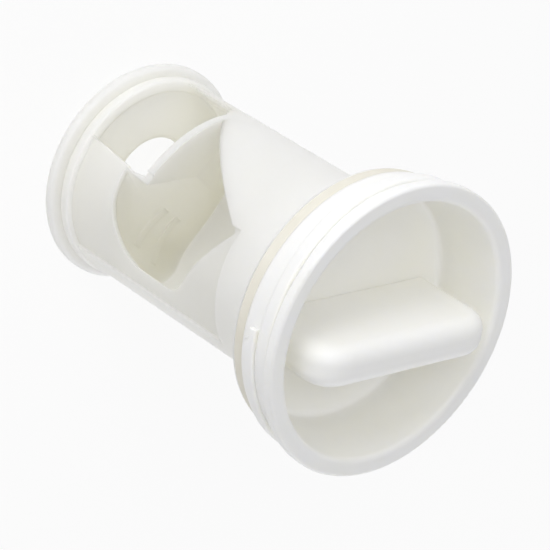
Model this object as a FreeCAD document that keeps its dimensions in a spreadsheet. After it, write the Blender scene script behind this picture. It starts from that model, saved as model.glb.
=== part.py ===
"""Drain pump filter: a screw-in cap with a finger bar, a scooped strainer tube and a sealing ring.

Frame: millimetres, the filter stands on its end flange, the screw axis is Z and the mouth of the cap
looks up. The window of the strainer tube faces -Y. Heights are measured from the end face.
"""
import FreeCAD, Part
import math
import os

import Sketcher

# Driving dimensions: alias, millimetres (angles in degrees), what it is
DIMENSIONS = (
    ("tube_radius", 21.7, "outside of the strainer tube"),
    ("tube_wall", 2.0, "wall of the strainer tube"),
    ("flange_step", 2.3, "how far the end flange stands out from the tube"),
    ("flange_height", 2.3, "thickness of the end flange"),
    ("flange_round", 0.9, "rounded outer edges of the end flange"),
    ("neck_step", 0.4, "depth of the groove behind the flange, below the tube"),
    ("neck_height", 0.9, "width of that groove"),
    ("ring_step", 0.6, "how far the end ring stands out from the tube"),
    ("ring_height", 2.4, "width of the end ring"),
    ("ring_round", 0.5, "rounded edge of the end ring"),
    ("end_wall_foot", 2.8, "height of the end wall's outer face above the end face"),
    ("end_wall_top", 5.2, "height of the end wall's inner face"),
    ("outlet_radius", 9.0, "round outlet in the end wall"),
    ("outlet_round", 0.9, "rounded rim of the outlet"),
    ("lip_radius", 31.0, "outside of the lip"),
    ("lip_width", 3.7, "width of the lip, down to the mouth"),
    ("lip_under_round", 0.6, "rounded underside of the lip"),
    ("lip_over_round", 0.6, "rounded front of the lip"),
    ("mouth_round", 1.2, "rounded inner edge of the mouth"),
    ("thread_depth", 1.6, "depth of the threaded wall below the lip's outside"),
    ("thread_height", 4.2, "width of the threaded wall"),
    ("land_step", 0.4, "depth of the plain land below the threaded wall"),
    ("land_height", 4.3, "width of the plain land"),
    ("seal_sink", 0.4, "depth of the seal's outside below the land"),
    ("seal_thickness", 1.7, "thickness of the seal"),
    ("seal_height", 3.1, "width of the seal and of its groove"),
    ("seal_round", 0.7, "rounded outer edges of the seal"),
    ("collar_foot", 67.1, "height of the collar's underside"),
    ("collar_height", 0.7, "thickness of the collar behind the seal"),
    ("collar_step", 0.8, "depth of the collar's outside below the land"),
    ("collar_round", 0.3, "rounded edge of the collar"),
    ("collar_edge", 1.1, "flat edge of the collar outside its hollow flare"),
    ("cap_top", 82.0, "height of the lip"),
    ("cup_floor", 67.2, "height of the floor inside the cap"),
    ("cup_taper", 2.5, "how much narrower the cap is at its floor than at its mouth"),
    ("cup_floor_round", 1.0, "rounded corner of the cap's floor"),
    ("floor_thickness", 2.2, "thickness of the cap's floor"),
    ("handle_gap", 2.3, "distance from the finger bar's end to the wall at the floor"),
    ("handle_thickness", 8.6, "thickness of the finger bar"),
    ("handle_rise", 5.4, "how far the finger bar stands above the lip"),
    ("handle_corner", 6.4, "rounded corners of the finger bar's outline"),
    ("handle_edge", 3.4, "rounded long edges of the finger bar"),
    ("handle_angle", 55.6, "turn of the finger bar from +X towards the window side"),
    ("handle_offset", 2.6, "how far the finger bar stands beside the screw axis"),
    ("window_tip", 52.4, "height of the window's tip"),
    ("window_tip_offset", 0.9, "sideways place of the tip"),
    ("window_tip_round", 0.8, "rounding of the tip"),
    ("window_right", 17.0, "straight right edge of the window"),
    ("window_shoulder", 40.6, "height at which the upper edge reaches the right edge"),
    ("window_shoulder_round", 6.0, "rounding between the upper and the right edge"),
    ("window_sill", 17.6, "height of the window's sill"),
    ("window_sill_round", 11.0, "rounding between the right edge and the sill"),
    ("panel_edge", 1.0, "straight edge of the panel at the sill"),
    ("panel_draft", 1.3, "how far that edge leans back at the end ring"),
    ("strip_gap", 1.3, "distance of the far strip's edge from the side of the tube"),
    ("tongue_foot", 20.6, "height at which the tongue meets the far strip"),
    ("tongue_foot_round", 5.0, "rounding between the tongue and the far strip"),
    ("panel_depth", 0.7, "depth of the recessed panel"),
    ("panel_top", 53.6, "upper end of the recessed panel"),
    ("panel_sweep", 69.0, "angle that the recessed panel takes up"),
    ("scoop_wall", 1.8, "thickness of the scoop"),
    ("scoop_rim", 25.5, "height of the scoop's rim beside the panel"),
    ("scoop_climb", 2.9, "how far the rim climbs to the side of the tube"),
    ("scoop_middle", 6.0, "distance of the scoop's middle section from the axis"),
    ("scoop_middle_rim", 21.0, "height of the middle section where its ramp starts"),
    ("scoop_middle_climb", 3.1, "how far the middle section climbs to the side of the tube"),
    ("scoop_middle_sill", 15.0, "height of the middle section where its ramp ends"),
    ("scoop_ramp", 14.0, "width of the ramp in the middle section"),
    ("scoop_ramp_end", 9.0, "sideways place where that ramp ends"),
    ("scoop_back", 6.4, "height of the scoop at the back wall"),
    ("scoop_back_climb", 13.0, "how far it climbs there from the ramp to the right side of the tube"),
    ("scoop_round", 12.0, "rounding of the bend where the ramp ends"),
    ("step_wall", 1.1, "upright wall between the rim and the sill of the scoop"),
    ("step_foot", 0.4, "thickness of that wall at the sill"),
    ("step_lean", 0.7, "how far that wall leans to the right at the rim"),
    ("step_round", 0.4, "rounded corner between that wall and the sill"),
    ("rib_width", 1.8, "width of the two low ribs on the scoop"),
    ("rib_height", 0.4, "height of these ribs above the scoop"),
    ("rib_start", 4.0, "sideways place where the ribs start"),
    ("rib_near_offset", -2.5, "place of the near rib, from the axis towards the back"),
    ("rib_near_length", 9.6, "length of the near rib"),
    ("rib_far_offset", 5.3, "place of the far rib, from the axis towards the back"),
    ("rib_far_length", 10.7, "length of the far rib"),
)
REACH = "(Sizes.lip_radius + Sizes.tube_radius)"

# Radii that follow from the two main ones, the tube's and the lip's
BORE = "(Sizes.tube_radius - Sizes.tube_wall)"
FLANGE = "(Sizes.tube_radius + Sizes.flange_step)"
NECK = "(Sizes.tube_radius - Sizes.neck_step)"
RING = "(Sizes.tube_radius + Sizes.ring_step)"
THREAD_ROOT = "(Sizes.lip_radius - Sizes.thread_depth)"
LAND = f"({THREAD_ROOT} - Sizes.land_step)"
COLLAR = f"({LAND} - Sizes.collar_step)"
SEAL_OUTSIDE = f"({LAND} - Sizes.seal_sink)"
SEAL_BORE = f"({SEAL_OUTSIDE} - Sizes.seal_thickness)"
MOUTH = "(Sizes.lip_radius - Sizes.lip_width)"
CUP_FLOOR = f"({MOUTH} - Sizes.cup_taper)"

# Back end of the scoop, half way into the tube's wall
BACK = "(Sizes.tube_radius - Sizes.tube_wall / 2)"

doc = FreeCAD.newDocument("PumpFilter")


def make_sheet():
    """Put the driving dimensions in a sheet: name, value and meaning in three columns."""
    sheet = doc.addObject("Spreadsheet::Sheet", "Sizes")
    for row, (alias, value, meaning) in enumerate(DIMENSIONS, start=1):
        sheet.set(f"A{row}", alias)
        sheet.set(f"B{row}", str(value))
        sheet.setAlias(f"B{row}", alias)
        sheet.set(f"C{row}", meaning)
    doc.recompute()
    return sheet


def plane(body, role):
    """The origin plane of a body that has this role."""
    return next(item for item in body.Origin.OriginFeatures if item.Role == role)


def new_sketch(body, name, role):
    """A sketch on one of the body's own origin planes."""
    sketch = body.newObject("Sketcher::SketchObject", name)
    sketch.AttachmentSupport = [(plane(body, role), "")]
    sketch.MapMode = "FlatFace"
    return sketch


def number(expression):
    """Present value of an expression in the sheet's sizes."""
    return float(getattr(sizes.evalExpression(expression), "Value", sizes.evalExpression(expression)))


def pin_point(sketch, line, end, horizontal, vertical):
    """Bind one end of a line to two expressions, measured from the sketch's origin."""
    for kind, expression in (("DistanceX", horizontal), ("DistanceY", vertical)):
        index = sketch.addConstraint(Sketcher.Constraint(kind, -1, 1, line, end, number(expression)))
        sketch.setExpression(f"Constraints[{index}]", expression)


def corner_arc(before, corner, after, radius):
    """First guess of the arc that rounds a corner, with its two tangent points in walking order."""
    to_before = (before - corner).normalize()
    to_after = (after - corner).normalize()
    half_angle = to_before.getAngle(to_after) / 2
    reach = radius / math.tan(half_angle)
    start = corner + to_before * reach
    finish = corner + to_after * reach
    centre = corner + (to_before + to_after).normalize() * (radius / math.sin(half_angle))
    left_turn = (corner - before).cross(after - corner).z > 0
    first, last = (start, finish) if left_turn else (finish, start)
    circle = Part.Circle(centre, FreeCAD.Vector(0, 0, 1), radius)
    angles = [math.atan2(point.y - centre.y, point.x - centre.x) for point in (first, last)]
    return Part.ArcOfCircle(circle, *angles), start, finish, left_turn


def draw_outline(sketch, corners):
    """Draw a closed outline whose corners are sharp or rounded.

    Each corner holds two expressions for its place and one for its radius, or None where it is sharp.
    Helper lines carry the corners, and the drawn lines lie on them between the roundings.
    """
    count = len(corners)
    places = [FreeCAD.Vector(number(across), number(up), 0) for across, up, radius in corners]
    helpers = []
    for index in range(count):
        line = Part.LineSegment(places[index], places[(index + 1) % count])
        helpers.append(sketch.addGeometry(line, True))
    for index, (across, up, radius) in enumerate(corners):
        sketch.addConstraint(Sketcher.Constraint("Coincident", helpers[index - 1], 2, helpers[index], 1))
        pin_point(sketch, helpers[index], 1, across, up)
    starts = list(places)
    finishes = list(places)
    arcs = {}
    for index, (across, up, radius) in enumerate(corners):
        if radius is not None:
            guess = corner_arc(places[index - 1], places[index], places[(index + 1) % count], number(radius))
            finishes[index - 1], starts[index] = guess[1], guess[2]
            arcs[index] = (sketch.addGeometry(guess[0], False), guess[3], radius)
        else:
            finishes[index - 1] = places[index]
    sides = []
    for index in range(count):
        side = sketch.addGeometry(Part.LineSegment(starts[index], finishes[index]), False)
        sides.append(side)
        for end, corner in ((1, index), (2, (index + 1) % count)):
            if corner in arcs:
                sketch.addConstraint(Sketcher.Constraint("PointOnObject", side, end, helpers[index]))
            else:
                helper_end = (helpers[index], end)
                sketch.addConstraint(Sketcher.Constraint("Coincident", side, end, *helper_end))
    for index, (arc, left_turn, radius) in arcs.items():
        first, last = (1, 2) if left_turn else (2, 1)
        sketch.addConstraint(Sketcher.Constraint("Tangent", sides[index - 1], 2, arc, first))
        sketch.addConstraint(Sketcher.Constraint("Tangent", arc, last, sides[index], 1))
        bound = sketch.addConstraint(Sketcher.Constraint("Radius", arc, number(radius)))
        sketch.setExpression(f"Constraints[{bound}]", radius)


def revolve(body, name, sketch, kind, degrees=None):
    """Turn a sketch about the screw axis, adding or cutting material."""
    feature = body.newObject(kind, name)
    feature.Profile = sketch
    feature.ReferenceAxis = (next(item for item in body.Origin.OriginFeatures if item.Role == "Z_Axis"), [""])
    feature.Angle = 360.0
    if degrees is not None:
        feature.setExpression("Angle", degrees)
    return feature


def extrude(body, name, sketch, kind, length, reverse=False, both_sides=False):
    """Pad or pocket a sketch by a length that is an expression."""
    feature = body.newObject(kind, name)
    feature.Profile = sketch
    feature.setExpression("Length", length)
    feature.Reversed = reverse
    feature.Midplane = both_sides
    return feature


def total(*aliases):
    """Expression that adds the sizes up."""
    return " + ".join(f"Sizes.{alias}" for alias in aliases)


def moulding_profile():
    """Half section of the moulding outside the tube's bore, with the hollow of the cap."""
    neck_foot = total("flange_height")
    ring_foot = total("flange_height", "neck_height")
    ring_top = total("flange_height", "neck_height", "ring_height")
    collar_top = total("collar_foot", "collar_height")
    groove_top = total("collar_foot", "collar_height", "seal_height")
    land_top = total("collar_foot", "collar_height", "seal_height", "land_height")
    lip_foot = total("collar_foot", "collar_height", "seal_height", "land_height", "thread_height")
    flare = f"{COLLAR} - Sizes.tube_radius - Sizes.collar_edge"
    return (
        (BORE, "0", None),
        (FLANGE, "0", "Sizes.flange_round"),
        (FLANGE, neck_foot, "Sizes.flange_round"),
        (NECK, neck_foot, None),
        (NECK, ring_foot, None),
        (RING, ring_foot, "Sizes.ring_round"),
        (RING, ring_top, "Sizes.ring_round"),
        ("Sizes.tube_radius", ring_top, None),
        ("Sizes.tube_radius", "Sizes.collar_foot", flare),
        (COLLAR, "Sizes.collar_foot", "Sizes.collar_round"),
        (COLLAR, collar_top, "Sizes.collar_round"),
        (SEAL_BORE, collar_top, None),
        (SEAL_BORE, groove_top, None),
        (LAND, groove_top, None),
        (LAND, land_top, None),
        (THREAD_ROOT, land_top, None),
        (THREAD_ROOT, lip_foot, None),
        ("Sizes.lip_radius", lip_foot, "Sizes.lip_under_round"),
        ("Sizes.lip_radius", "Sizes.cap_top", "Sizes.lip_over_round"),
        (MOUTH, "Sizes.cap_top", "Sizes.mouth_round"),
        (CUP_FLOOR, "Sizes.cup_floor", "Sizes.cup_floor_round"),
        ("0", "Sizes.cup_floor", None),
        ("0", "Sizes.cup_floor - Sizes.floor_thickness", None),
        (BORE, "Sizes.cup_floor - Sizes.floor_thickness", None),
        (BORE, "Sizes.end_wall_top", None),
        ("Sizes.outlet_radius", "Sizes.end_wall_top", "Sizes.outlet_round"),
        ("Sizes.outlet_radius", "Sizes.end_wall_foot", "Sizes.outlet_round"),
        (BORE, "Sizes.end_wall_foot", None),
    )


def window_outline():
    """The two windows seen from the front: the large one with its tip, and the lower one beside the panel."""
    ring_top = total("flange_height", "neck_height", "ring_height")
    return (
        ("Sizes.window_tip_offset", "Sizes.window_tip", "Sizes.window_tip_round"),
        ("Sizes.strip_gap - Sizes.tube_radius", "Sizes.tongue_foot", "Sizes.tongue_foot_round"),
        ("Sizes.strip_gap - Sizes.tube_radius", ring_top, None),
        ("Sizes.panel_edge - Sizes.panel_draft", ring_top, None),
        ("Sizes.panel_edge", "Sizes.window_sill", None),
        ("Sizes.window_right", "Sizes.window_sill", "Sizes.window_sill_round"),
        ("Sizes.window_right", "Sizes.window_shoulder", "Sizes.window_shoulder_round"),
    )


def front_section():
    """Cross section of the scoop at the window: a rim, an upright step beside the panel, and the sill."""
    side = "Sizes.tube_radius"
    wall = "Sizes.scoop_wall"
    far_rim = "Sizes.scoop_rim + Sizes.scoop_climb"
    step_top = "Sizes.panel_edge + Sizes.step_lean"
    return (
        (f"-{side}", far_rim, None),
        (f"{step_top} + Sizes.step_wall", "Sizes.scoop_rim", None),
        ("Sizes.panel_edge + Sizes.step_foot", "Sizes.window_sill", "Sizes.step_round"),
        (side, "Sizes.window_sill", None),
        (side, f"Sizes.window_sill - {wall}", None),
        ("Sizes.panel_edge", f"Sizes.window_sill - {wall}", None),
        (step_top, f"Sizes.scoop_rim - {wall}", None),
        (f"-{side}", f"{far_rim} - {wall}", None),
    )


def middle_section():
    """Cross section of the scoop inside the tube, where a wide ramp joins its two levels."""
    side = "Sizes.tube_radius"
    wall = "Sizes.scoop_wall"
    ramp_start = "Sizes.scoop_ramp_end - Sizes.scoop_ramp"
    far_rim = "Sizes.scoop_middle_rim + Sizes.scoop_middle_climb"
    return (
        (f"-{side}", far_rim, None),
        (ramp_start, "Sizes.scoop_middle_rim", None),
        ("Sizes.scoop_ramp_end", "Sizes.scoop_middle_sill", "Sizes.scoop_round"),
        (side, "Sizes.scoop_middle_sill", None),
        (side, f"Sizes.scoop_middle_sill - {wall}", None),
        ("Sizes.scoop_ramp_end", f"Sizes.scoop_middle_sill - {wall}", None),
        (ramp_start, f"Sizes.scoop_middle_rim - {wall}", None),
        (f"-{side}", f"{far_rim} - {wall}", None),
    )


def back_section():
    """Cross section of the scoop at the back wall, where it is level and then climbs to the right."""
    side = "Sizes.tube_radius"
    foot = "Sizes.scoop_back - Sizes.scoop_wall"
    climb = "Sizes.scoop_back_climb"
    ramp_start = "Sizes.scoop_ramp_end - Sizes.scoop_ramp"
    return (
        (f"-{side}", "Sizes.scoop_back", None),
        (ramp_start, "Sizes.scoop_back", None),
        ("Sizes.scoop_ramp_end", "Sizes.scoop_back", "Sizes.scoop_round"),
        (side, f"Sizes.scoop_back + {climb}", None),
        (side, f"{foot} + {climb}", None),
        ("Sizes.scoop_ramp_end", foot, None),
        (ramp_start, foot, None),
        (f"-{side}", foot, None),
    )


def add_scoop(body):
    """Scoop between the two chambers: it falls from its rim and sill at the window to the back wall."""
    sections = (
        ("ScoopFront", front_section(), "-Sizes.tube_radius"),
        ("ScoopMiddle", middle_section(), "-Sizes.scoop_middle"),
        ("ScoopBack", back_section(), BACK),
    )
    sketches = []
    for name, section, depth in sections:
        sketch = new_sketch(body, name, "XZ_Plane")
        sketch.setExpression(".AttachmentOffset.Base.z", f"-({depth})")
        draw_outline(sketch, section)
        sketches.append(sketch)
    doc.recompute()
    scoop = body.newObject("PartDesign::AdditiveLoft", "Scoop")
    scoop.Profile = sketches[0]
    scoop.Sections = sketches[1:]
    scoop.Ruled = True
    return scoop


def scoop_height(across, depth):
    """Expression for the height of the scoop's ramp at a place between its middle and its back."""
    share = f"(({depth}) + Sizes.scoop_middle) / ({BACK} + Sizes.scoop_middle)"
    fall = "(Sizes.scoop_middle_rim - Sizes.scoop_middle_sill) / Sizes.scoop_ramp"
    middle = f"(Sizes.scoop_middle_sill + max(0; Sizes.scoop_ramp_end - ({across})) * {fall})"
    rise = "Sizes.scoop_back_climb / (Sizes.tube_radius - Sizes.scoop_ramp_end)"
    back = f"(Sizes.scoop_back + max(0; ({across}) - Sizes.scoop_ramp_end) * {rise})"
    return f"({middle} * (1 - {share}) + {back} * {share})"


def add_ribs(body):
    """Two low ribs across the scoop."""
    for name, depth, length in (
        ("NearRib", "Sizes.rib_near_offset", "Sizes.rib_near_length"),
        ("FarRib", "Sizes.rib_far_offset", "Sizes.rib_far_length"),
    ):
        places = (
            ("Sizes.rib_start", None),
            ("Sizes.scoop_ramp_end", "Sizes.scoop_round"),
            (f"Sizes.rib_start + {length}", None),
        )
        heights = [(across, scoop_height(across, depth), bend) for across, bend in places]
        foot = [(across, f"{height} - Sizes.scoop_wall / 2", None) for across, height, bend in heights]
        crest = [(across, f"{height} + Sizes.rib_height", bend) for across, height, bend in heights]
        sketch = new_sketch(body, name + "Side", "XZ_Plane")
        sketch.setExpression(".AttachmentOffset.Base.z", f"-({depth})")
        draw_outline(sketch, (*foot, *reversed(crest)))
        extrude(body, name, sketch, "PartDesign::Pad", "Sizes.rib_width", both_sides=True)


def trim_tube(body):
    """Turn the outside of the tube and of the end ring clean where the scoop reaches through them."""
    ring_foot = total("flange_height", "neck_height")
    ring_top = total("flange_height", "neck_height", "ring_height")
    upper = "Sizes.panel_top"
    sketch = new_sketch(body, "TubeTrimSection", "XZ_Plane")
    draw_outline(sketch, (
        ("Sizes.tube_radius", ring_top, None),
        (RING, ring_top, None),
        (RING, ring_foot, None),
        (REACH, ring_foot, None),
        (REACH, upper, None),
        ("Sizes.tube_radius", upper, None),
    ))
    revolve(body, "TubeTrim", sketch, "PartDesign::Groove")


def sink_panel(body):
    """Recess of the panel, from the window's straight edge round to the rail."""
    ring_top = total("flange_height", "neck_height", "ring_height")
    floor = "-(Sizes.tube_radius - Sizes.panel_depth)"
    sketch = new_sketch(body, "PanelSection", "YZ_Plane")
    draw_outline(sketch, (
        (floor, ring_top, None),
        (floor, "Sizes.panel_top", None),
        (f"-{RING}", "Sizes.panel_top", None),
        (f"-{RING}", ring_top, None),
    ))
    panel = revolve(body, "PanelRecess", sketch, "PartDesign::Groove", "Sizes.panel_sweep")
    panel.Reversed = PANEL_REVERSED
    return panel


def add_handle(body):
    """Finger bar across the cap, rounded all over its front."""
    half = f"({CUP_FLOOR} - Sizes.handle_gap)"
    top = "Sizes.cap_top + Sizes.handle_rise"
    foot = "Sizes.cup_floor - Sizes.floor_thickness / 2"
    sketch = new_sketch(body, "HandleOutline", "XZ_Plane")
    turned = FreeCAD.Rotation(FreeCAD.Vector(0, 1, 0), 1)
    sketch.AttachmentOffset = FreeCAD.Placement(FreeCAD.Vector(), turned)
    sketch.setExpression(".AttachmentOffset.Rotation.Angle", "-Sizes.handle_angle")
    sketch.setExpression(".AttachmentOffset.Base.x", "Sizes.handle_offset * sin(Sizes.handle_angle)")
    sketch.setExpression(".AttachmentOffset.Base.z", "-Sizes.handle_offset * cos(Sizes.handle_angle)")
    draw_outline(sketch, (
        (f"-{half}", foot, None),
        (half, foot, None),
        (half, top, "Sizes.handle_corner"),
        (f"-{half}", top, "Sizes.handle_corner"),
    ))
    extrude(body, "Handle", sketch, "PartDesign::Pad", "Sizes.handle_thickness", both_sides=True)
    doc.recompute()
    rim = body.Tip
    edges = handle_edges(rim.Shape)
    fillet = body.newObject("PartDesign::Fillet", "HandleRounding")
    fillet.Base = (rim, edges)
    fillet.setExpression("Radius", "Sizes.handle_edge")
    return fillet


def handle_edges(shape):
    """Names of the finger bar's outline edges above the cap's floor, on both of its flat sides."""
    turned = FreeCAD.Rotation(FreeCAD.Vector(0, 0, 1), -number("Sizes.handle_angle"))
    normal = turned.multVec(FreeCAD.Vector(0, 1, 0))
    offset = number("Sizes.handle_offset")
    half_thickness = number("Sizes.handle_thickness / 2")
    lowest = number("Sizes.cup_floor + Sizes.cup_floor_round")
    widest = number(CUP_FLOOR)
    names = []
    for index, edge in enumerate(shape.Edges, start=1):
        points = [edge.valueAt(place) for place in (edge.FirstParameter, edge.LastParameter)]
        leans = [point.dot(normal) - offset for point in points]
        on_side = all(abs(abs(lean) - half_thickness) < TOUCH for lean in leans)
        flat_run = abs(leans[0] - leans[1]) < TOUCH
        above = max(point.z for point in points) > lowest
        inside = all(math.hypot(point.x, point.y) < widest for point in points)
        if on_side and flat_run and above and inside:
            names.append(f"Edge{index}")
    return names


def build_moulding():
    """The one-piece moulding: cap, finger bar, collar, strainer tube, scoop and end flange."""
    body = doc.addObject("PartDesign::Body", "filter_moulding")
    body.Label = "filter_moulding"
    section = new_sketch(body, "MouldingSection", "XZ_Plane")
    draw_outline(section, moulding_profile())
    revolve(body, "Turned", section, "PartDesign::Revolution")
    windows = new_sketch(body, "WindowOutline", "XZ_Plane")
    draw_outline(windows, window_outline())
    doc.recompute()
    extrude(body, "Windows", windows, "PartDesign::Pocket", REACH, WINDOW_REVERSED)
    add_scoop(body)
    add_ribs(body)
    trim_tube(body)
    sink_panel(body)
    add_handle(body)
    return body


def build_seal():
    """Soft sealing ring that sits in the groove between the collar and the land."""
    body = doc.addObject("PartDesign::Body", "sealing_ring")
    body.Label = "sealing_ring"
    foot = total("collar_foot", "collar_height")
    top = total("collar_foot", "collar_height", "seal_height")
    section = new_sketch(body, "SealSection", "XZ_Plane")
    draw_outline(section, (
        (SEAL_BORE, foot, None),
        (SEAL_OUTSIDE, foot, "Sizes.seal_round"),
        (SEAL_OUTSIDE, top, "Sizes.seal_round"),
        (SEAL_BORE, top, None),
    ))
    revolve(body, "SealTurned", section, "PartDesign::Revolution")
    return body


def check_document():
    """Stop if any object failed to recompute."""
    failed = [item.Name for item in doc.Objects if {"Invalid", "Error"} & set(item.State)]
    if failed:
        raise RuntimeError("failed objects: " + ", ".join(failed))


def export(bodies):
    """Check each sub-part and write it to a file of its own name."""
    os.makedirs("parts", exist_ok=True)
    for body in bodies:
        shape = body.Shape
        if shape.isNull() or not shape.isValid() or len(shape.Solids) != 1:
            raise RuntimeError(f"{body.Label} is not one valid solid")
        shape.exportStep(f"parts/{body.Label}.step")
        print(f"{body.Label}: {shape.Volume / 1000:.2f} cm3, box {shape.BoundBox}")


# Direction switches of the cuts, and the tolerance for finding edges
WINDOW_REVERSED = True
PANEL_REVERSED = False
TOUCH = 0.01

sizes = make_sheet()
sub_parts = [build_moulding(), build_seal()]
doc.recompute()
check_document()
export(sub_parts)
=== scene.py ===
"""Looks of a screw-in drain pump filter: white plastic, a cream seal and the coarse thread of the cap.

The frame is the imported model: metres, the screw axis is Z, the filter stands on its end flange at Z = 0 and
the window of the strainer tube faces -Y. Sizes in this file are millimetres and become metres where they are used.
"""
from __future__ import annotations

import logging
import math
from dataclasses import dataclass, replace
from enum import Enum

import bpy
from mathutils import Matrix, Vector


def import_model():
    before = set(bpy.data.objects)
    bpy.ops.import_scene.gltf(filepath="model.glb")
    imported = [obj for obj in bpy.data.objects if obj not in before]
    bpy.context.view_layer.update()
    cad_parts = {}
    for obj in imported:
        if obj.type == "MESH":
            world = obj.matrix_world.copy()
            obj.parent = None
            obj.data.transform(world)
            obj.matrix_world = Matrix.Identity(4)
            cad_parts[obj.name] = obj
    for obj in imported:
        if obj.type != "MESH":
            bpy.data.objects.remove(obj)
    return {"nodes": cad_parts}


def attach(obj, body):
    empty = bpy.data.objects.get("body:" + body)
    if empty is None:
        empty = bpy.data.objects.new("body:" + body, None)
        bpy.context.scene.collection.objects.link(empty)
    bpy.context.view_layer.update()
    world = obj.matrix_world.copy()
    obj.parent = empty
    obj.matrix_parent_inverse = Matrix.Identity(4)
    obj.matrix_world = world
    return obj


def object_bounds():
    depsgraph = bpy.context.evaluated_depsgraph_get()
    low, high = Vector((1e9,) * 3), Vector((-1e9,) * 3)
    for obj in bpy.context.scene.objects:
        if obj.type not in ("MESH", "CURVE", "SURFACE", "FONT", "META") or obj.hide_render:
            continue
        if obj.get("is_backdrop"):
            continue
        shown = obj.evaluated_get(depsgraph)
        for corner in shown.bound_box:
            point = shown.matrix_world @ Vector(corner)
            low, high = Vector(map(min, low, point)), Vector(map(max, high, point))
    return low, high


LOG = logging.getLogger("pump_filter")
MM = 0.001
FULL_TURN = 360.0
MERGE_DISTANCE = 0.01 * MM
EDGE_SEGMENTS = 4
SOFT_EDGE_SAMPLES = 6
BODY = "root"
WHITE = "#FFFFFF"
LAMP_WHITE = "#FBFBFC"
Colour = tuple[float, float, float, float]


class Slot(str, Enum):
    """Name of the moulding's material slot."""

    MOULDING = "moulding"


class Node(str, Enum):
    """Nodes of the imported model."""

    MOULDING = "filter_moulding"
    SEAL = "sealing_ring"


def colour(code: str) -> Colour:
    """Turn an sRGB hex code into the linear colour that shaders take.

    Args:
        code: Six hex digits, with or without a leading hash.

    Returns:
        Linear red, green, blue and an alpha of one.
    """
    digits = code.lstrip("#")
    channels = [int(digits[place:place + 2], 16) / 255 for place in (0, 2, 4)]
    linear = [part / 12.92 if part <= 0.04045 else ((part + 0.055) / 1.055) ** 2.4 for part in channels]
    return linear[0], linear[1], linear[2], 1.0


def per_metre(size: float) -> float:
    """Texture scale whose features are about this big.

    Args:
        size: Feature size in millimetres.

    Returns:
        Scale in features for each metre.
    """
    return 1 / (size * MM)


def add_node(tree: bpy.types.NodeTree, kind: str, settings: dict | None = None,
             links: dict | None = None) -> bpy.types.Node:
    """Add one node, set its values and link its inputs.

    Args:
        tree: Node tree that takes the node.
        kind: Blender's type name of the node.
        settings: Properties of the node, or values of its inputs, by name.
        links: Output sockets of other nodes, by the name of the input that they feed.

    Returns:
        The new node.
    """
    node = tree.nodes.new(kind)
    for name, value in (settings or {}).items():
        if name in node.inputs:
            node.inputs[name].default_value = value
        else:
            setattr(node, name, value)
    for name, source in (links or {}).items():
        tree.links.new(source, node.inputs[name])
    return node


def background_rays(tree: bpy.types.NodeTree) -> bpy.types.NodeSocket:
    """Tell the rays that show the background from those that only carry its light.

    Args:
        tree: Node tree that takes the nodes.

    Returns:
        Socket with one for camera, glossy and transmission rays, and zero for all others.
    """
    rays = add_node(tree, "ShaderNodeLightPath").outputs
    seen = rays["Is Camera Ray"]
    for kind in ("Is Glossy Ray", "Is Transmission Ray"):
        both = add_node(tree, "ShaderNodeMath", {"operation": "MAXIMUM"})
        tree.links.new(seen, both.inputs[0])
        tree.links.new(rays[kind], both.inputs[1])
        seen = both.outputs["Value"]
    return seen


def add_ramp(tree: bpy.types.NodeTree, factor: bpy.types.NodeSocket,
             stops: list[tuple[float, Colour]]) -> bpy.types.NodeSocket:
    """Map a factor to colours.

    Args:
        tree: Node tree that takes the ramp.
        factor: Socket with a value from zero to one.
        stops: Two places on the ramp with their colours.

    Returns:
        The ramp's colour output.
    """
    ramp = add_node(tree, "ShaderNodeValToRGB", links={"Fac": factor})
    for element, (place, tint) in zip(ramp.color_ramp.elements, stops):
        element.position = place
        element.color = tint
    return ramp.outputs["Color"]


def add_noise(tree: bpy.types.NodeTree, place: bpy.types.NodeSocket, size: float,
              detail: float) -> bpy.types.NodeSocket:
    """Add a noise pattern of a real size.

    Args:
        tree: Node tree that takes the pattern.
        place: Coordinates in metres.
        size: Feature size in millimetres.
        detail: Number of finer layers.

    Returns:
        The pattern's value, from zero to one.
    """
    return add_node(tree, "ShaderNodeTexNoise", {"Scale": per_metre(size), "Detail": detail},
                    {"Vector": place}).outputs["Fac"]


def add_relief(tree: bpy.types.NodeTree, pattern: bpy.types.NodeSocket, depth: float,
               normal: bpy.types.NodeSocket) -> bpy.types.NodeSocket:
    """Turn a pattern into shallow relief on top of a normal.

    Args:
        tree: Node tree that takes the relief.
        pattern: Height from zero to one.
        depth: Height of the relief in millimetres.
        normal: Normal that the relief changes.

    Returns:
        The changed normal.
    """
    return add_node(tree, "ShaderNodeBump", {"Strength": 1.0, "Distance": depth * MM},
                    {"Height": pattern, "Normal": normal}).outputs["Normal"]


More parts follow.
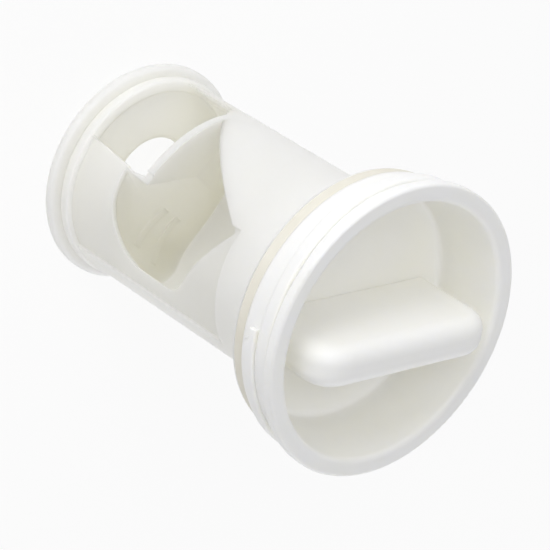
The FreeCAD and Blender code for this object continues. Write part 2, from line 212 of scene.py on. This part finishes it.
@dataclass(frozen=True)
class MouldedFinish:
    """Finish of a moulded polymer: two close tints, a grain and slow waviness.

    Sizes are in millimetres. Where a thick depth is set, light scatters less far above than below: the scatter depth
    holds up to one height, the thick depth from another, and the depth changes evenly between them.
    """

    name: str
    tint: str
    shade: str
    roughness: float
    roughness_spread: float
    cloud: float
    grain: float
    grain_depth: float
    wave: float
    wave_depth: float
    scatter: float
    scatter_depth: float
    specular: float
    soft_edge: float
    shade_until: float = 0.3
    tint_from: float = 0.7
    scatter_colours: tuple[float, float, float] = (1.0, 0.985, 0.93)
    thick_depth: float | None = None
    thin_below: float = 0.0
    thick_above: float = 0.0

    def material(self) -> bpy.types.Material:
        """Build the finish as a procedural material.

        Returns:
            The new material.
        """
        made = bpy.data.materials.new(self.name)
        made.use_nodes = True
        tree = made.node_tree
        tree.nodes.clear()
        place = add_node(tree, "ShaderNodeTexCoord").outputs["Object"]
        clouds = add_noise(tree, place, self.cloud, detail=3.0)
        grains = add_noise(tree, place, self.grain, detail=2.0)
        waves = add_noise(tree, place, self.wave, detail=1.0)
        tint = add_ramp(tree, clouds, [(self.shade_until, colour(self.shade)), (self.tint_from, colour(self.tint))])
        rough = add_node(tree, "ShaderNodeMapRange", {
            "To Min": self.roughness - self.roughness_spread,
            "To Max": self.roughness + self.roughness_spread,
        }, {"Value": clouds}).outputs["Result"]
        rounded = add_node(tree, "ShaderNodeBevel", {
            "samples": SOFT_EDGE_SAMPLES,
            "Radius": self.soft_edge * MM,
        }).outputs["Normal"]
        slow = add_relief(tree, waves, self.wave_depth, rounded)
        fine = add_relief(tree, grains, self.grain_depth, slow)
        inputs = {"Base Color": tint, "Roughness": rough, "Normal": fine}
        if self.thick_depth is not None:
            inputs["Subsurface Scale"] = self.depth_by_height(tree, place)
        surface = add_node(tree, "ShaderNodeBsdfPrincipled", {
            "Subsurface Weight": self.scatter,
            "Subsurface Radius": self.scatter_colours,
            "Subsurface Scale": self.scatter_depth * MM,
            "Specular IOR Level": self.specular,
        }, inputs)
        add_node(tree, "ShaderNodeOutputMaterial", links={"Surface": surface.outputs["BSDF"]})
        return made

    def depth_by_height(self, tree: bpy.types.NodeTree, place: bpy.types.NodeSocket) -> bpy.types.NodeSocket:
        """Scatter depth that is large in the thin walls below and small in the thick ones above.

        Args:
            tree: Node tree of the material.
            place: Object coordinates.

        Returns:
            Socket with the depth in metres.
        """
        height = add_node(tree, "ShaderNodeSeparateXYZ", links={"Vector": place}).outputs["Z"]
        return add_node(tree, "ShaderNodeMapRange", {
            "From Min": self.thin_below * MM,
            "From Max": self.thick_above * MM,
            "To Min": self.scatter_depth * MM,
            "To Max": self.thick_depth * MM,
        }, {"Value": height}).outputs["Result"]


# White polypropylene: light soaks into the thin tube and fills its hollows with a warm glow, the thick cap looks
# denser, and the slightly waxy surface gives wide, soft highlights
WHITE_POLYPROPYLENE = MouldedFinish(
    name="white_polypropylene", tint="#FDFCF6", shade="#FBFAF2", roughness=0.4, roughness_spread=0.05, cloud=14.0,
    grain=0.35, grain_depth=0.003, wave=9.0, wave_depth=0.04, scatter=1.0, scatter_depth=9.5, specular=0.4,
    soft_edge=0.45, thick_depth=0.25, thin_below=54.0, thick_above=74.0,
)
# The same polypropylene on the thread: as dense as the cap that it belongs to, so no seam shows
CAP_POLYPROPYLENE = replace(WHITE_POLYPROPYLENE, name="white_polypropylene_cap", scatter_depth=0.25, thick_depth=None)
# Cream silicone rubber: duller and a little darker than the plastic, so the seal reads as a soft, warm line
CREAM_SILICONE = MouldedFinish(
    name="cream_silicone_rubber", tint="#E9E6DB", shade="#E3DFD2", roughness=0.6, roughness_spread=0.06, cloud=8.0,
    grain=0.25, grain_depth=0.006, wave=5.0, wave_depth=0.06, scatter=0.3, scatter_depth=1.0, specular=0.3,
    soft_edge=0.2,
)


def activate(piece: bpy.types.Object) -> None:
    """Make one object the only selected and the active one.

    Args:
        piece: Object to select.
    """
    bpy.ops.object.select_all(action="DESELECT")
    piece.select_set(True)
    bpy.context.view_layer.objects.active = piece


def apply_modifiers(piece: bpy.types.Object) -> None:
    """Apply all the modifiers of an object, in order.

    Args:
        piece: Object whose modifiers become part of its mesh.
    """
    activate(piece)
    for modifier in list(piece.modifiers):
        bpy.ops.object.modifier_apply(modifier=modifier.name)


def turn_about_axis(degrees: float) -> Matrix:
    """Rotation about the screw axis.

    Args:
        degrees: Angle from +X towards +Y.

    Returns:
        The rotation as a four by four matrix.
    """
    return Matrix.Rotation(math.radians(degrees), 4, "Z")


@dataclass(frozen=True)
class Section:
    """Four-sided section of a ridge on the cap, with rounded corners and flanks that may lean.

    Lengths are in millimetres: the radius grows from root to crest and the height from foot to top.
    """

    root: float
    crest: float
    foot: float
    top: float
    edge: float
    lean: float

    def wind(self, name: str, sweep: float, rise: float, steps: int) -> bpy.types.Object:
        """Sweep the section about the screw axis, from the +X side.

        Args:
            name: Name of the new object.
            sweep: Angle to sweep through, in degrees.
            rise: How far the far end lies above the near end, in millimetres.
            steps: Number of steps along the sweep.

        Returns:
            The new object, with its ends still open.
        """
        bpy.ops.object.select_all(action="DESELECT")
        bpy.ops.mesh.primitive_plane_add(size=1.0, rotation=(math.pi / 2, 0.0, 0.0))
        piece = bpy.context.active_object
        piece.name = name
        bpy.ops.object.transform_apply(location=True, rotation=True, scale=True)
        middle = (self.foot + self.top) / 2
        for vertex in piece.data.vertices:
            outside = vertex.co.x > 0
            half = (self.top - self.foot) / 2 - (self.lean if outside else 0.0)
            height = middle + math.copysign(half, vertex.co.z)
            vertex.co = Vector((self.crest if outside else self.root, 0.0, height)) * MM
        bevel = piece.modifiers.new("edge", "BEVEL")
        bevel.affect = "VERTICES"
        bevel.width = self.edge * MM
        bevel.segments = EDGE_SEGMENTS
        screw = piece.modifiers.new("sweep", "SCREW")
        screw.axis = "Z"
        screw.angle = math.radians(sweep)
        screw.screw_offset = rise * MM
        screw.steps = steps
        screw.render_steps = steps
        screw.use_smooth_shade = True
        apply_modifiers(piece)
        return piece


def close_mesh(piece: bpy.types.Object) -> None:
    """Join doubled points, cap the open ends and turn the faces outwards.

    Args:
        piece: Object with a swept section.
    """
    activate(piece)
    bpy.ops.object.mode_set(mode="EDIT")
    bpy.ops.mesh.select_all(action="SELECT")
    bpy.ops.mesh.remove_doubles(threshold=MERGE_DISTANCE)
    bpy.ops.mesh.fill_holes(sides=0)
    bpy.ops.mesh.select_all(action="SELECT")
    bpy.ops.mesh.normals_make_consistent(inside=False)
    bpy.ops.object.mode_set(mode="OBJECT")


@dataclass
class ThreadStart:
    """One start of the coarse thread: a flat-topped ridge that climbs from its stepped end to the lip.

    Lengths are in millimetres and angles in degrees from +X.
    """

    name: str
    start: float
    section: Section = Section(root=28.5, crest=30.1, foot=71.8, top=75.0, edge=0.4, lean=0.2)
    lead: float = 8.2
    sweep: float = 250.0
    run_out: float = 60.0
    end_share: float = 0.05
    step_angle: float = 5.0
    step_height: float = 1.3
    steps: int = 200

    def build(self) -> bpy.types.Object:
        """Make the ridge as a mesh that lies in place.

        Returns:
            The new object.
        """
        ridge = self.section.wind(self.name, self.sweep, self.lead * self.sweep / FULL_TURN, self.steps)
        for vertex in ridge.data.vertices:
            vertex.co = self.shaped(vertex.co)
        ridge.data.transform(turn_about_axis(self.start))
        close_mesh(ridge)
        return ridge

    def shaped(self, place: Vector) -> Vector:
        """Step the near end of the ridge and let its far end run out into the wall.

        Args:
            place: Point of the plain ridge.

        Returns:
            The same point on the finished ridge.
        """
        angle = math.degrees(math.atan2(place.y, place.x)) % FULL_TURN
        radius = math.hypot(place.x, place.y)
        share = min(1.0, max(self.end_share, (self.sweep - angle) / self.run_out))
        kept = self.section.root * MM + (radius - self.section.root * MM) * share
        top = (self.section.top + self.lead * angle / FULL_TURN) * MM
        width = self.section.top - self.section.foot
        narrowed = 1 - self.step_height / width if angle < self.step_angle else 1.0
        height = top - (top - place.z) * narrowed
        return Vector((place.x * kept / radius, place.y * kept / radius, height))


@dataclass(frozen=True)
class SoftLight:
    """One large soft light that looks at the middle of the part.

    The direction goes from the part to the light; lengths are in metres.
    """

    name: str
    direction: tuple[float, float, float]
    distance: float
    size: float
    power: float
    tint: str = LAMP_WHITE

    def add(self, target: Vector) -> None:
        """Place the light.

        Args:
            target: Point that the light looks at.
        """
        lamp = bpy.data.lights.new(self.name, "AREA")
        lamp.shape = "DISK"
        lamp.size = self.size
        lamp.energy = self.power
        lamp.color = colour(self.tint)[:3]
        holder = bpy.data.objects.new(self.name, lamp)
        bpy.context.scene.collection.objects.link(holder)
        away = Vector(self.direction).normalized()
        holder.location = target + away * self.distance
        holder.rotation_euler = away.to_track_quat("Z", "Y").to_euler()


@dataclass(frozen=True)
class PhotoCamera:
    """Camera at the photograph's place, turned as the photographed part lies.

    The directions are the picture's right and up in the part's frame; lengths are in millimetres.
    """

    place: tuple[float, float, float] = (14.70, -448.67, 438.63)
    right: tuple[float, float, float] = (-0.5544, 0.5380, 0.6350)
    up: tuple[float, float, float] = (-0.8320, -0.3762, -0.4077)
    lens: float = 195.07
    sensor: float = 36.0
    nearest: float = 10.0
    farthest: float = 20000.0

    def add(self) -> None:
        """Place the camera and make it the scene's own."""
        optics = bpy.data.cameras.new("camera")
        optics.sensor_width = self.sensor
        optics.lens = self.lens
        optics.clip_start = self.nearest * MM
        optics.clip_end = self.farthest * MM
        holder = bpy.data.objects.new("camera", optics)
        bpy.context.scene.collection.objects.link(holder)
        right, up = Vector(self.right), Vector(self.up)
        back = right.cross(up).normalized()
        turned = Matrix((right, up, back)).transposed().to_4x4()
        holder.matrix_world = Matrix.Translation(Vector(self.place) * MM) @ turned
        bpy.context.scene.camera = holder


@dataclass(frozen=True)
class Studio:
    """Pale floor, even surroundings, soft lights and the photograph's camera.

    Lengths are in metres. The glow is how much of the floor's look is plain white where the background is seen, and
    the lift is the same where the floor only lights the part.
    """

    lights: tuple[SoftLight, ...]
    camera: PhotoCamera = PhotoCamera()
    surroundings: float = 0.5
    light_bounces: int = 12
    floor_size: float = 6.0
    floor_glow: float = 0.9
    floor_lift: float = 0.18
    floor_tint: str = "#F0F0F0"
    floor_corners: int = 96

    def build(self, target: Vector) -> None:
        """Set the whole studio up.

        Args:
            target: Middle of the part.
        """
        self.add_world()
        self.add_floor()
        for light in self.lights:
            light.add(target)
        self.camera.add()

    def add_world(self) -> None:
        """White background where it is seen, dimmer light for everything else, and bounces that fill white hollows."""
        bpy.context.scene.cycles.diffuse_bounces = self.light_bounces
        world = bpy.data.worlds.new("studio")
        bpy.context.scene.world = world
        world.use_nodes = True
        tree = world.node_tree
        tree.nodes.clear()
        seen = add_node(tree, "ShaderNodeBackground", {"Color": colour(WHITE), "Strength": 1.0})
        felt = add_node(tree, "ShaderNodeBackground", {"Color": colour(LAMP_WHITE), "Strength": self.surroundings})
        mixed = add_node(tree, "ShaderNodeMixShader", links={"Fac": background_rays(tree)})
        tree.links.new(felt.outputs["Background"], mixed.inputs[1])
        tree.links.new(seen.outputs["Background"], mixed.inputs[2])
        add_node(tree, "ShaderNodeOutputWorld", links={"Surface": mixed.outputs["Shader"]})

    def add_floor(self) -> None:
        """Matt white floor that looks nearly white where it is seen, with the part's soft shadow kept."""
        bpy.ops.object.select_all(action="DESELECT")
        bpy.ops.mesh.primitive_circle_add(vertices=self.floor_corners, radius=self.floor_size / 2, fill_type="NGON")
        floor = bpy.context.active_object
        floor.name = "floor"
        paint = bpy.data.materials.new("floor_white")
        paint.use_nodes = True
        tree = paint.node_tree
        tree.nodes.clear()
        matt = add_node(tree, "ShaderNodeBsdfDiffuse", {"Color": colour(self.floor_tint)})
        bright = add_node(tree, "ShaderNodeEmission", {"Color": colour(WHITE), "Strength": 1.0})
        share = add_node(tree, "ShaderNodeMapRange", {"To Min": self.floor_lift, "To Max": self.floor_glow},
                         {"Value": background_rays(tree)}).outputs["Result"]
        mixed = add_node(tree, "ShaderNodeMixShader", links={"Fac": share})
        tree.links.new(matt.outputs["BSDF"], mixed.inputs[1])
        tree.links.new(bright.outputs["Emission"], mixed.inputs[2])
        add_node(tree, "ShaderNodeOutputMaterial", links={"Surface": mixed.outputs["Shader"]})
        floor.data.materials.append(paint)
        floor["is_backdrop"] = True


STUDIO = Studio(lights=(
    SoftLight("key", (-0.30, -0.90, 0.20), 0.9, 0.5, 2.2),
    SoftLight("side", (-0.85, -0.40, 0.35), 0.9, 0.6, 0.7),
    SoftLight("low", (-0.64, -0.76, 0.14), 0.9, 0.4, 0.75),
    SoftLight("front", (-0.25, -0.65, 0.72), 1.0, 0.5, 1.6),
    SoftLight("fill", (0.65, -0.65, 0.40), 0.9, 0.6, 0.2),
    SoftLight("back", (0.64, 0.77, 0.15), 0.9, 0.9, 3.0),
))


@dataclass
class PumpFilter:
    """The filter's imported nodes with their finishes, and the thread on its cap."""

    nodes: dict[str, bpy.types.Object]
    thread: tuple[ThreadStart, ...] = (
        ThreadStart("thread_start_front", start=-61.0),
        ThreadStart("thread_start_back", start=119.0),
    )

    def dress(self) -> None:
        """Give every node its material and add the thread."""
        cap_finish = CAP_POLYPROPYLENE.material()
        self.paint(self.nodes[Node.MOULDING.value], WHITE_POLYPROPYLENE.material())
        self.paint(self.nodes[Node.SEAL.value], CREAM_SILICONE.material())
        for start in self.thread:
            piece = start.build()
            self.paint(piece, cap_finish)
            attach(piece, BODY)
            LOG.info("%s has %d faces", piece.name, len(piece.data.polygons))

    @staticmethod
    def paint(piece: bpy.types.Object, finish: bpy.types.Material) -> None:
        """Make a material the only one of an object.

        Args:
            piece: Object that takes the material.
            finish: Material to give it.
        """
        piece.data.materials.clear()
        piece.data.materials.append(finish)


def main() -> None:
    """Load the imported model, dress it and set the studio up."""
    logging.basicConfig(level=logging.INFO, format="%(name)s: %(message)s")
    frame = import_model()
    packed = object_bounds()
    PumpFilter(frame["nodes"]).dress()
    bpy.context.scene.view_settings.view_transform = "Standard"
    STUDIO.build((packed[0] + packed[1]) / 2)
    bpy.context.view_layer.update()


if __name__ == "__main__":
    main()
